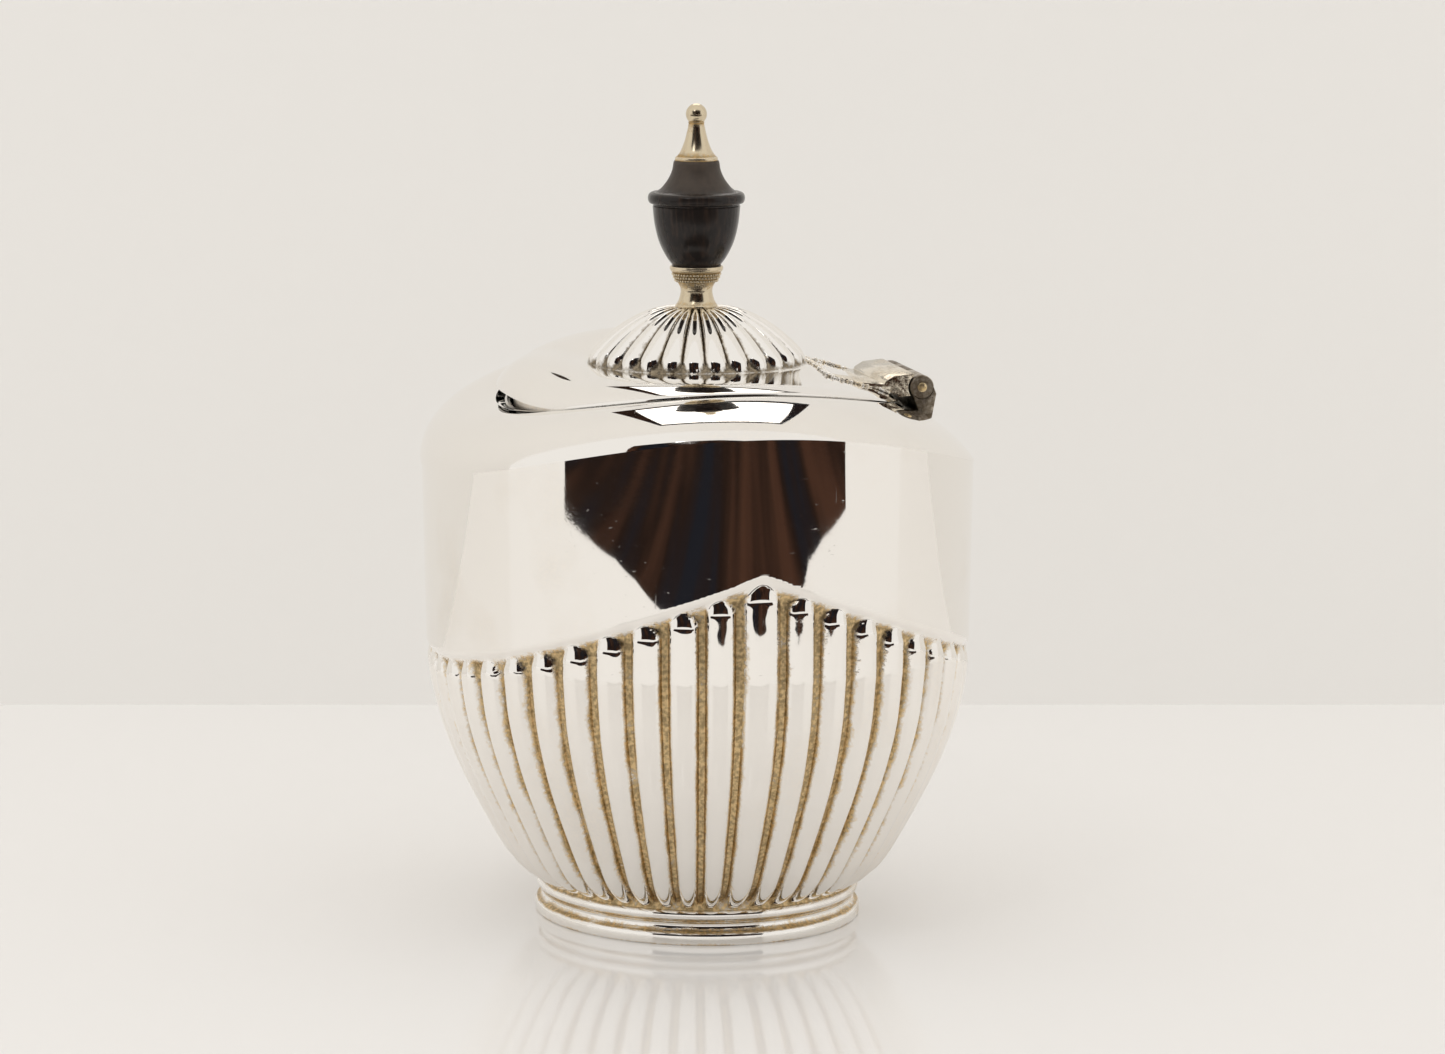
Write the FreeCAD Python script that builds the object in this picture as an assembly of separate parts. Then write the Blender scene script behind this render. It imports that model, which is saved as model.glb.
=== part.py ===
"""Half-fluted oval silver tea caddy with a hinged domed lid and an ebony knob.

Frame: millimetres, +Z up, origin at the centre of the underside of the foot.
+X points to the hinge, -X to the thumb lift, and the plan is longest along Y,
where the crease and the tops of the flutes rise to their two peaks.
"""
import FreeCAD, Part

import math
import os

from FreeCAD import Matrix, Vector

# ---- driving dimensions (mm) ----
PLAN_RATIO = 1.2            # length of the plan along Y over its width along X
CREASE_RADIUS = 49.4        # half width at the crease between wall and shoulder
CREASE_HEIGHT = 87.2
CREASE_RISE = 5.4           # how far the crease rises at the two ends and dips at the sides
WALL_THICKNESS = 1.6
WALL_FOOT_HEIGHT = 50.0     # where the plain wall turns into the bowl
WALL_FOOT_RADIUS = 48.5

FLUTE_COUNT = 46
FLUTE_LOW = 47.6            # height of the flute tops at the hinge and at the thumb lift
FLUTE_RISE = 19.0           # how much higher the flutes reach at the two ends
GROOVE_RADIUS = 1.25
GROOVE_DEPTH = 0.9

FOOT_RADIUS = 29.1
FOOT_HEIGHT = 7.6
FOOT_WIDTH = 2.6            # inward thickness of the foot ring
BOWL_BOTTOM = 3.6           # height of the underside of the bowl at the axis

MOUTH_RADIUS = 35.8
MOUTH_HEIGHT = 95.4
MOUTH_RISE = 2.9
MOUTH_SWELL = 0.9           # extra height of the mouth half way from the lift to the +Y end
SHOULDER_SHEET = 1.5
LID_SHEET = 0.9
CORE_DEPTH = 5.0            # how deep the blocks reach that trim what sits on the sheets
BEZEL_THICKNESS = 1.0
BEZEL_DEPTH = 5.0
BEZEL_PLAY = 0.6            # gap between the fixed bezel and the lid bezel
LID_GAP = 0.35              # gap between the mouth edge and the lid
SEAM_GAP = 0.04             # solder seam between sheets that meet edge to edge

LIFT_HEIGHT = 2.2           # how far the lid rim is raised at the thumb lift
LIFT_HALF_ANGLE = 34.0      # degrees either side of -X

DOME_RADIUS = 20.3
DOME_BASE = 99.5
DOME_TOP = 109.4
DOME_PAD = 4.6              # radius of the flat seat under the collar
DOME_SHEET = 1.3
DOME_GROOVES = 28
DOME_GROOVE_RADIUS = 0.75
DOME_GROOVE_DEPTH = 0.55
COVER_HOLE = 18.4
DOME_STATIONS = (0.0, 0.25, 0.45, 0.65, 0.82, 0.94, 1.0)
DOME_GROOVE_STATIONS = (19.6, 17.5, 14.5, 11.0, 7.0, 4.9)

HINGE_X = 38.6
HINGE_Z = 95.5
HINGE_HALF_LENGTH = 12.6
PIN_RADIUS = 0.85
PIN_PLAY = 0.05
KNUCKLE_RADIUS = 2.15
KNUCKLE_GAP = 0.3
KNUCKLE_COUNT = 5           # knuckles along the pin, body and lid in turn
LEAF_CLEARANCE = 0.4

COLLAR_TOP = 116.9
ROD_RADIUS = 1.2
ROD_BOTTOM = 103.4
ROD_TOP = 138.5
NUT_TOP = 107.3
NUT_HEIGHT = 2.4
NUT_ACROSS = 5.5
WASHER_RADIUS = 4.0
EBONY_TOP = 135.7
FINIAL_TOP = 145.9
BALL_RADIUS = 1.9

# ---- derived values ----
MOUTH_INNER = MOUTH_RADIUS - SHOULDER_SHEET
BODY_BEZEL_INNER = MOUTH_INNER - BEZEL_THICKNESS
LID_BEZEL_OUTER = BODY_BEZEL_INNER - BEZEL_PLAY
LID_BEZEL_INNER = LID_BEZEL_OUTER - BEZEL_THICKNESS
BALL_CENTRE = FINIAL_TOP - BALL_RADIUS
LOOP_POINTS = 40


def save(name, shape):
    """Write one closed solid to parts/NAME.step and print its volume."""
    solids = shape.Solids
    if len(solids) != 1 or not solids[0].isValid():
        raise RuntimeError("%s: %d solids, valid %s" % (name, len(solids), shape.isValid()))
    solid = solids[0]
    solid.exportStep("parts/%s.step" % name)
    print("%-18s %9.1f mm3" % (name, solid.Volume))


def oval(shape):
    """Stretch a round shape along Y to the oval plan."""
    stretch = Matrix()
    stretch.scale(1.0, PLAN_RATIO, 1.0)
    return shape.transformGeometry(stretch)


def revolved(edges):
    """Solid of revolution about Z from edges in the XZ plane that close a face."""
    face = Part.Face(Part.Wire(Part.__sortEdges__(edges)))
    return face.revolve(Vector(0, 0, 0), Vector(0, 0, 1), 360)


def polyline(points):
    """Straight edges through (radius, height) points."""
    corners = [Vector(r, 0, z) for r, z in points]
    return [Part.LineSegment(a, b).toShape() for a, b in zip(corners, corners[1:])]


def curve(points):
    """One smooth edge through (radius, height) points."""
    spline = Part.BSplineCurve()
    spline.interpolate([Vector(r, 0, z) for r, z in points])
    return spline.toShape()


def cylinder(radius, bottom, top):
    """Upright cylinder on the axis."""
    return Part.makeCylinder(radius, top - bottom, Vector(0, 0, bottom))


def saddle(angle, level, rise):
    """Height on a closed saddle line: low at the sides (X), high at the ends (Y)."""
    return level - rise * math.cos(2 * angle)


def loop(radius, height, ratio=PLAN_RATIO):
    """Closed smooth edge; radius and height are functions of the plan angle."""
    points = []
    for i in range(LOOP_POINTS):
        a = 2 * math.pi * i / LOOP_POINTS
        r = radius(a)
        points.append(Vector(r * math.cos(a), ratio * r * math.sin(a), height(a)))
    spline = Part.BSplineCurve()
    spline.interpolate(Points=points, PeriodicFlag=True)
    return spline.toShape()


def skin(edges):
    """Smooth surface through a row of closed edges."""
    if len(edges) == 2:
        return Part.makeRuledSurface(edges[0], edges[1]).Faces
    wires = [Part.Wire([edge]) for edge in edges]
    return Part.makeLoft(wires, False, False, False).Faces


def closed_ring(outer, inner):
    """Solid between an outer and an inner row of closed edges that share no edge."""
    faces = skin(outer) + skin(inner)
    faces += skin([outer[0], inner[0]])
    faces += skin([outer[-1], inner[-1]])
    shell = Part.Shell(faces)
    if not shell.isClosed():
        shell.sewShape()
    solid = Part.Solid(shell)
    if solid.Volume < 0:
        solid.reverse()
    return solid


# ---- heights and outlines shared by neighbours ----
def mouth_height(angle):
    swell = max(0.0, math.cos(angle - 0.75 * math.pi)) ** 2
    return saddle(angle, MOUTH_HEIGHT, MOUTH_RISE) + MOUTH_SWELL * swell


def crease_height(angle, inset=0.0):
    """Height of the saddle surface at the crease, or a little way inside it."""
    share = (CREASE_RADIUS - inset) / CREASE_RADIUS
    return saddle(angle, CREASE_HEIGHT, CREASE_RISE * share ** 2)


def thumb_lift(angle):
    """Extra height of the lid rim near -X, fading to nothing at the half angle."""
    away = abs(math.degrees(math.atan2(math.sin(angle), -math.cos(angle))))
    if away >= LIFT_HALF_ANGLE:
        return 0.0
    return LIFT_HEIGHT * math.cos(0.5 * math.pi * away / LIFT_HALF_ANGLE) ** 1.5


def fullness(angle):
    """Share of a quarter ellipse in the shoulder: full at the lift, flatter at the hinge."""
    return 0.72 - 0.33 * math.cos(angle)


def shoulder_point(angle, step, inset):
    """Radius and height on the shoulder, step 0 at the crease and 1 at the mouth."""
    turn = 0.5 * math.pi * step
    full = fullness(angle)
    across = full * (1 - math.cos(turn)) + (1 - full) * step
    up = full * math.sin(turn) + (1 - full) * step
    radius = CREASE_RADIUS - inset - across * (CREASE_RADIUS - MOUTH_RADIUS)
    low = crease_height(angle, inset) + SEAM_GAP
    high = mouth_height(angle)
    return radius, low + up * (high - low) - 0.35 * inset * step


def lid_height(angle, radius):
    """Top of the lid cover: from the rim up to the foot of the dome, gently full."""
    rim = mouth_height(angle) + LID_GAP + LID_SHEET + thumb_lift(angle)
    step = (MOUTH_RADIUS - radius) / (MOUTH_RADIUS - COVER_HOLE)
    bulge = 1.4 - 1.2 * math.cos(angle) + 1.2 * math.sin(angle)
    return rim + (DOME_BASE - rim) * step + bulge * math.sin(math.pi * step ** 0.7)


def lid_ratio(radius):
    """Plan ratio of the lid: oval at the rim, round under the dome."""
    share = (radius - COVER_HOLE) / (MOUTH_RADIUS - COVER_HOLE)
    return 1.0 + (PLAN_RATIO - 1.0) * share


def bowl_outline():
    """Outer edges of the bowl and wall, from the foot to above the crease."""
    bowl = curve([(26.0, 5.6), (30.6, 8.0), (34.6, 12.2), (40.3, 22.4),
                  (44.4, 31.4), (47.2, 40.6), (WALL_FOOT_RADIUS, WALL_FOOT_HEIGHT)])
    return bowl


def bowl_radius(height):
    """Outer radius of the bowl or wall at a height, read from the outline."""
    if height >= WALL_FOOT_HEIGHT:
        share = (height - WALL_FOOT_HEIGHT) / (CREASE_HEIGHT - WALL_FOOT_HEIGHT)
        return WALL_FOOT_RADIUS + share * (CREASE_RADIUS - WALL_FOOT_RADIUS)
    spline = bowl_outline().Curve
    low, high = spline.FirstParameter, spline.LastParameter
    for _ in range(40):
        middle = 0.5 * (low + high)
        if spline.value(middle).z < height:
            low = middle
        else:
            high = middle
    return spline.value(low).x


def below_crease():
    """Block under the saddle surface that both the wall and the shoulder end on.

    A saddle of constant rise is a ruled surface over a square turned by 45 degrees.
    """
    reach = 80.0
    swing = CREASE_RISE * (reach / CREASE_RADIUS) ** 2
    tops = [Vector(reach, 0, CREASE_HEIGHT - swing), Vector(0, reach, CREASE_HEIGHT + swing),
            Vector(-reach, 0, CREASE_HEIGHT - swing), Vector(0, -reach, CREASE_HEIGHT + swing)]
    feet = [Vector(p.x, p.y, -20.0) for p in tops]
    first = Part.LineSegment(tops[0], tops[1]).toShape()
    second = Part.LineSegment(tops[3], tops[2]).toShape()
    faces = [Part.makeRuledSurface(first, second)]
    for i in range(4):
        j = (i + 1) % 4
        faces.append(Part.Face(Part.makePolygon([tops[i], tops[j], feet[j], feet[i], tops[i]])))
    faces.append(Part.Face(Part.makePolygon(feet + feet[:1])))
    shell = Part.Shell(faces)
    shell.sewShape()
    solid = Part.Solid(shell)
    if solid.Volume < 0:
        solid.reverse()
    return solid


# ---- body ----
def flute_top(angle):
    """Height of the top of a flute at a plan angle from +X."""
    return FLUTE_LOW + FLUTE_RISE * (1 - abs(math.cos(angle))) ** 0.9


def groove(angle, path_points, radius):
    """Round-ended groove cutter along a path in the XZ plane, turned to its angle."""
    path = Part.BSplineCurve()
    path.interpolate([Vector(r, 0, z) for r, z in path_points])
    wire = Part.Wire([path.toShape()])
    start = path.value(path.FirstParameter)
    along = path.tangent(path.FirstParameter)[0]
    ring = Part.Wire([Part.makeCircle(radius, start, along)])
    tool = wire.makePipeShell([ring], True, True)
    tool = tool.fuse(Part.makeSphere(radius, path.value(path.LastParameter)))
    tool.rotate(Vector(0, 0, 0), Vector(0, 0, 1), math.degrees(angle))
    return tool


def quarter_grooves():
    """Cutters between the flutes of one quarter, each as tall as the flute line allows."""
    tools = []
    offset = GROOVE_RADIUS - GROOVE_DEPTH
    for i in range(math.ceil(FLUTE_COUNT / 4)):
        angle = 0.5 * math.pi - 2 * math.pi * (i + 0.5) / FLUTE_COUNT
        top = flute_top(angle) - 2 * GROOVE_RADIUS
        levels = [7.9 + (top - 7.9) * n / 4 for n in range(5)]
        path = [(bowl_radius(z) + offset, z) for z in levels]
        tools.append(groove(angle, path, GROOVE_RADIUS))
    return tools


def mirrored(shape, normal):
    """The shape joined to its mirror image in a plane through the axis."""
    return shape.fuse(shape.mirror(Vector(0, 0, 0), normal))


def body_shell():
    """Raised bowl and wall in one sheet, fluted below and plain above."""
    wall = WALL_THICKNESS
    rim = CREASE_HEIGHT + CREASE_RISE + 2.0
    inner = curve([(20.0, BOWL_BOTTOM + wall + 0.6), (28.8, 9.0), (33.2, 13.4), (38.8, 23.0),
                   (42.8, 31.8), (45.6, 40.8), (WALL_FOOT_RADIUS - wall, WALL_FOOT_HEIGHT)])
    edges = [bowl_outline(), inner]
    edges += polyline([(WALL_FOOT_RADIUS, WALL_FOOT_HEIGHT), (CREASE_RADIUS, rim),
                       (CREASE_RADIUS - wall, rim), (WALL_FOOT_RADIUS - wall, WALL_FOOT_HEIGHT)])
    edges += polyline([(26.0, 5.6), (20.0, BOWL_BOTTOM), (0.0, BOWL_BOTTOM),
                       (0.0, BOWL_BOTTOM + wall), (20.0, BOWL_BOTTOM + wall + 0.6)])
    quarter = Part.makeBox(80, 80, 160, Vector(0, 0, -20))
    shell = revolved(edges).common(below_crease()).common(quarter)
    for tool in quarter_grooves():
        shell = shell.cut(tool)
    shell = mirrored(mirrored(shell, Vector(1, 0, 0)), Vector(0, 1, 0))
    return oval(shell)


def shoulder_rows(inset):
    """Closed edges up the shoulder, moved inwards by the inset."""
    rows = []
    for n in range(6):
        rows.append(loop(lambda a: shoulder_point(a, n / 5, inset)[0],
                         lambda a: shoulder_point(a, n / 5, inset)[1]))
    return rows


def bezel(outer, inner, top, bottom):
    """Thin upright ring that follows the edge of the mouth."""
    ring = closed_ring([loop(lambda a: outer, lambda a: mouth_height(a) + bottom),
                        loop(lambda a: outer, lambda a: mouth_height(a) + top)],
                       [loop(lambda a: inner, lambda a: mouth_height(a) + bottom),
                        loop(lambda a: inner, lambda a: mouth_height(a) + top)])
    return ring


def foot_ring(bowl):
    """Cast foot: plain bottom rim, a cove and a small torus, fitted under the bowl."""
    edges = polyline([(FOOT_RADIUS - 0.2, -1.0), (FOOT_RADIUS - 0.2, 0.0), (FOOT_RADIUS, 0.3),
                      (FOOT_RADIUS, 2.0), (FOOT_RADIUS - 0.4, 2.3)])
    edges.append(curve([(FOOT_RADIUS - 0.4, 2.3), (FOOT_RADIUS - 1.3, 3.2),
                        (FOOT_RADIUS - 0.9, 4.2)]))
    edges += polyline([(FOOT_RADIUS - 0.9, 4.2), (FOOT_RADIUS - 0.4, 4.6),
                       (FOOT_RADIUS - 0.4, 5.8), (FOOT_RADIUS - 0.9, 6.3),
                       (FOOT_RADIUS - 0.9, FOOT_HEIGHT), (FOOT_RADIUS - FOOT_WIDTH, 6.2),
                       (FOOT_RADIUS - FOOT_WIDTH, -1.0), (FOOT_RADIUS - 0.2, -1.0)])
    below_table = Part.makeBox(200, 200, 20, Vector(-100, -100, -20))
    return oval(revolved(edges)).cut(bowl).cut(below_table)


# ---- lid ----
def cover_rows(drop):
    """Closed edges up the lid, from the rim to the hole under the dome."""
    rows = []
    for n in range(7):
        radius = MOUTH_RADIUS - (MOUTH_RADIUS - COVER_HOLE) * (n / 6) ** 1.4
        rows.append(loop(lambda a: radius, lambda a: lid_height(a, radius) - drop,
                         lid_ratio(radius)))
    return rows


def lid_bezel():
    """Ring inside the mouth that keeps the lid in place, soldered under the cover."""
    ring = bezel(LID_BEZEL_OUTER, LID_BEZEL_INNER, 5.0, LID_GAP - BEZEL_DEPTH)
    return ring.cut(closed_ring(cover_rows(-CORE_DEPTH), cover_rows(LID_SHEET + SEAM_GAP)))


def dome_rise(radius):
    """Height of the dome surface above its base, a flattened quarter ellipse."""
    share = (radius - DOME_PAD) / (DOME_RADIUS - DOME_PAD)
    return (DOME_TOP - DOME_BASE) * (1 - share ** 1.75) ** 0.85


def lid_dome(below_lid):
    """Small raised dome with its own gadroons, seated on the lid cover."""
    radii = [DOME_PAD + (DOME_RADIUS - DOME_PAD) * share for share in DOME_STATIONS]
    outer = [(r, DOME_BASE + dome_rise(r)) for r in radii]
    taper = DOME_SHEET / (DOME_RADIUS - DOME_PAD)
    inner = [(r - taper * (r - DOME_PAD), z - DOME_SHEET) for r, z in outer]
    skirt = DOME_BASE - DOME_SHEET
    edges = [curve(outer), curve(inner)]
    edges += polyline([outer[-1], (outer[-1][0], skirt), inner[-1]])
    edges += polyline([inner[0], (ROD_RADIUS, inner[0][1]), (ROD_RADIUS, DOME_TOP), outer[0]])
    dome = revolved(edges).common(Part.makeBox(80, 80, 160))
    lift = DOME_GROOVE_RADIUS - DOME_GROOVE_DEPTH
    path = [(r, DOME_BASE + dome_rise(r) + lift) for r in DOME_GROOVE_STATIONS]
    for i in range(DOME_GROOVES // 4):
        angle = 2 * math.pi * (i + 0.5) / DOME_GROOVES
        dome = dome.cut(groove(angle, path, DOME_GROOVE_RADIUS))
    dome = mirrored(mirrored(dome, Vector(1, 0, 0)), Vector(0, 1, 0))
    return dome.cut(below_lid)


def knob_collar():
    """Silver collar between the dome and the ebony knob, waisted."""
    seat = DOME_TOP
    edges = polyline([(ROD_RADIUS, COLLAR_TOP), (ROD_RADIUS, seat), (3.7, seat), (3.7, seat + 0.5)])
    edges.append(curve([(3.7, seat + 0.5), (3.2, 110.9), (2.9, 112.4), (3.3, 113.7),
                        (4.2, 115.3)]))
    edges += polyline([(4.2, 115.3), (4.8, 116.2), (4.8, COLLAR_TOP), (ROD_RADIUS, COLLAR_TOP)])
    return revolved(edges)


def knob_body():
    """Turned ebony urn with a bead round its widest part and a waisted cap."""
    edges = polyline([(ROD_RADIUS, COLLAR_TOP), (4.3, COLLAR_TOP)])
    edges.append(curve([(4.3, COLLAR_TOP), (5.2, 118.7), (6.5, 121.4), (7.4, 124.2),
                        (7.85, 127.9)]))
    edges += polyline([(7.85, 127.9), (8.3, 128.1)])
    edges.append(Part.Arc(Vector(8.3, 0, 128.1), Vector(8.7, 0, 129.1),
                          Vector(8.2, 0, 130.2)).toShape())
    edges += polyline([(8.2, 130.2), (7.0, 130.4)])
    edges.append(curve([(7.0, 130.4), (5.0, 132.4), (4.2, 134.4), (4.1, EBONY_TOP)]))
    edges += polyline([(4.1, EBONY_TOP), (ROD_RADIUS, EBONY_TOP), (ROD_RADIUS, COLLAR_TOP)])
    return revolved(edges)


def finial_cap():
    """Silver cone and ball screwed on the rod."""
    neck = BALL_CENTRE - BALL_RADIUS * 0.7
    neck_radius = BALL_RADIUS * math.sqrt(1 - 0.7 ** 2)
    edges = polyline([(0.0, ROD_TOP), (ROD_RADIUS, ROD_TOP), (ROD_RADIUS, EBONY_TOP),
                      (3.8, EBONY_TOP), (3.8, EBONY_TOP + 0.5), (3.4, EBONY_TOP + 0.8)])
    edges.append(curve([(3.4, EBONY_TOP + 0.8), (2.5, 138.2), (1.8, 140.2),
                        (neck_radius, neck)]))
    edges.append(Part.Arc(Vector(neck_radius, 0, neck), Vector(BALL_RADIUS, 0, BALL_CENTRE),
                          Vector(0, 0, FINIAL_TOP)).toShape())
    edges += polyline([(0.0, FINIAL_TOP), (0.0, ROD_TOP)])
    return revolved(edges)


def knob_rod():
    """Threaded rod from the nut under the dome up into the finial."""
    return cylinder(ROD_RADIUS, ROD_BOTTOM, ROD_TOP)


def knob_nut():
    """Hexagonal nut under the dome."""
    corner = NUT_ACROSS / math.sqrt(3)
    points = []
    for i in range(7):
        a = math.pi * i / 3
        points.append(Vector(corner * math.cos(a), corner * math.sin(a), NUT_TOP - NUT_HEIGHT))
    prism = Part.Face(Part.makePolygon(points)).extrude(Vector(0, 0, NUT_HEIGHT))
    return prism.cut(cylinder(ROD_RADIUS, ROD_BOTTOM, ROD_TOP))


def knob_washer():
    """Plain washer between the nut and the inside of the dome."""
    top = DOME_TOP - DOME_SHEET
    disc = cylinder(WASHER_RADIUS, NUT_TOP, top)
    return disc.cut(cylinder(ROD_RADIUS, ROD_BOTTOM, ROD_TOP))


# ---- hinge ----
def hinge_bar(radius, start, end):
    """Cylinder on the hinge line between two places along Y."""
    return Part.makeCylinder(radius, end - start, Vector(HINGE_X, start, HINGE_Z), Vector(0, 1, 0))


def knuckle_span(index):
    """Start and end along Y of one knuckle."""
    length = (2 * HINGE_HALF_LENGTH - (KNUCKLE_COUNT - 1) * KNUCKLE_GAP) / KNUCKLE_COUNT
    start = -HINGE_HALF_LENGTH + index * (length + KNUCKLE_GAP)
    return start, start + length


def knuckle(index):
    """Tube round the pin; odd ones turn with the lid and run free on the pin."""
    start, end = knuckle_span(index)
    bore = PIN_RADIUS + (PIN_PLAY if index % 2 else 0.0)
    return hinge_bar(KNUCKLE_RADIUS, start, end).cut(hinge_bar(bore, start - 1, end + 1))


def leaf(outline, own, support):
    """Hinge leaf as long as the pin, notched for the other leaf's knuckles."""
    corners = [Vector(HINGE_X + x, -HINGE_HALF_LENGTH, HINGE_Z + z) for x, z in outline]
    plate = Part.Face(Part.makePolygon(corners + corners[:1]))
    plate = plate.extrude(Vector(0, 2 * HINGE_HALF_LENGTH, 0))
    plate = plate.cut(hinge_bar(KNUCKLE_RADIUS, -HINGE_HALF_LENGTH - 1, HINGE_HALF_LENGTH + 1))
    for index in range(KNUCKLE_COUNT):
        if index % 2 != own:
            start, end = knuckle_span(index)
            reach = KNUCKLE_RADIUS + LEAF_CLEARANCE
            plate = plate.cut(hinge_bar(reach, start - KNUCKLE_GAP, end + KNUCKLE_GAP))
    return plate.cut(support)


def hinge_body_leaf(below_shoulder):
    """Comma-shaped leaf from the pin down on to the shoulder."""
    outline = [(-1.7, -1.3), (-0.9, -3.4), (0.3, -7.3), (1.4, -7.3), (2.1, -4.0),
               (2.6, -1.2), (1.9, 0.6), (0.0, 0.0)]
    return leaf(outline, 0, below_shoulder)


def hinge_lid_leaf(below_lid):
    """Thick strap from the pin, thinner where it lies on the lid."""
    outline = [(-1.0, -1.6), (-2.6, -1.5), (-6.6, -1.9), (-17.0, 0.6), (-17.0, 2.6),
               (-14.5, 2.0), (-11.0, 1.1), (-6.9, 0.7), (-6.7, 1.2), (-5.2, 2.1), (-1.5, 2.5),
               (-0.6, 1.0)]
    return leaf(outline, 1, below_lid)


def main():
    os.makedirs("parts", exist_ok=True)
    shell = body_shell()
    save("body_shell", shell)
    save("foot_ring", foot_ring(shell))
    save("shoulder", closed_ring(shoulder_rows(0.0), shoulder_rows(SHOULDER_SHEET)))
    save("mouth_bezel", bezel(MOUTH_INNER, BODY_BEZEL_INNER, -0.4, -BEZEL_DEPTH))
    save("lid_cover", closed_ring(cover_rows(0.0), cover_rows(LID_SHEET)))
    save("lid_bezel", lid_bezel())
    below_lid = closed_ring(cover_rows(0.0), cover_rows(CORE_DEPTH))
    save("lid_dome", lid_dome(below_lid))
    save("knob_collar", knob_collar())
    save("knob_body", knob_body())
    save("finial_cap", finial_cap())
    save("knob_rod", knob_rod())
    save("knob_nut", knob_nut())
    save("knob_washer", knob_washer())
    for index in range(KNUCKLE_COUNT):
        owner = "lid" if index % 2 else "body"
        save("%s_knuckle_%d" % (owner, index // 2 + 1), knuckle(index))
    save("hinge_pin", hinge_bar(PIN_RADIUS, -HINGE_HALF_LENGTH - 0.3, HINGE_HALF_LENGTH + 0.3))
    below_shoulder = closed_ring(shoulder_rows(0.0), shoulder_rows(CORE_DEPTH))
    save("hinge_body_leaf", hinge_body_leaf(below_shoulder))
    save("hinge_lid_leaf", hinge_lid_leaf(below_lid))


main()
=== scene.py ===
"""Half-fluted oval silver tea caddy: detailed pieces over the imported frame.

Lengths in the tables and formulas below are millimetres in the frame's own axes;
every mesh is written in metres.
"""

import math
from contextlib import contextmanager

import bmesh
import bpy
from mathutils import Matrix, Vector


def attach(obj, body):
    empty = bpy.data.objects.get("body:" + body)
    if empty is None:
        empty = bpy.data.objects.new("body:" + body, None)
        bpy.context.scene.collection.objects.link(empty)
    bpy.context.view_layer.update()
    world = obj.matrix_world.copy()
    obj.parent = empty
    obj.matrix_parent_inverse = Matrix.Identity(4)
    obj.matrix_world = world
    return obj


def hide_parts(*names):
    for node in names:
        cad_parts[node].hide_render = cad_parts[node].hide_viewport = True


bl_info = {
    "name": "Silver Tea Caddy",
    "version": (1, 0, 0),
    "blender": (4, 5, 0),
    "location": "View3D > Sidebar > Tea Caddy",
    "description": "Builds a half-fluted silver tea caddy with a hinged lid",
    "category": "Object",
}

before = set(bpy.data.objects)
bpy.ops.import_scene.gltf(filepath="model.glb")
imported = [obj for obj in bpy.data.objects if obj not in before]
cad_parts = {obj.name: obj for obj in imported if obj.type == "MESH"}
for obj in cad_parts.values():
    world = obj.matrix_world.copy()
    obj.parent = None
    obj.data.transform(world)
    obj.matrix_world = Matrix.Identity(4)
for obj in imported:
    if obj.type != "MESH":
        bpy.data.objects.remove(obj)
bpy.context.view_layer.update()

MM = 0.001
TAU = 2 * math.pi


# ---- settings
class CaddyBodySettings(bpy.types.PropertyGroup):
    """Sizes of the bowl, the shoulder and the foot."""

    plan_ratio: bpy.props.FloatProperty(
        name="Plan Ratio", description="Length of the plan over its width", default=1.2)
    crease_radius: bpy.props.FloatProperty(
        name="Crease Radius", description="Half width at the crease, mm", default=49.38)
    crease_height: bpy.props.FloatProperty(
        name="Crease Height", description="Mean height of the crease, mm", default=87.2)
    crease_rise: bpy.props.FloatProperty(
        name="Crease Rise", description="Swing of the crease, mm", default=5.4)
    mouth_radius: bpy.props.FloatProperty(
        name="Mouth Radius", description="Half width of the mouth, mm", default=35.8)
    mouth_height: bpy.props.FloatProperty(
        name="Mouth Height", description="Mean height of the mouth, mm", default=95.4)
    mouth_rise: bpy.props.FloatProperty(
        name="Mouth Rise", description="Swing of the mouth, mm", default=2.9)
    mouth_swell: bpy.props.FloatProperty(
        name="Mouth Swell", description="Extra height towards the back left, mm", default=0.9)
    flute_low: bpy.props.FloatProperty(
        name="Flute Low", description="Flute tops at the sides, mm", default=48.3)
    flute_rise: bpy.props.FloatProperty(
        name="Flute Rise", description="Extra height of the flutes at the ends, mm", default=19.3)
    side_lobes: bpy.props.IntProperty(
        name="Lobes per Quarter", description="Lobes from an end to a side", default=11)
    wide_lobe: bpy.props.FloatProperty(
        name="Wide Lobe", description="Angle of the lobe at each end",
        default=math.radians(9.4), subtype="ANGLE")
    groove_depth: bpy.props.FloatProperty(
        name="Groove Depth", description="Depth between the lobes, mm", default=1.5)
    lobe_proud: bpy.props.FloatProperty(
        name="Lobe Proud", description="How far lobes stand out, mm", default=0.25)


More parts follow.
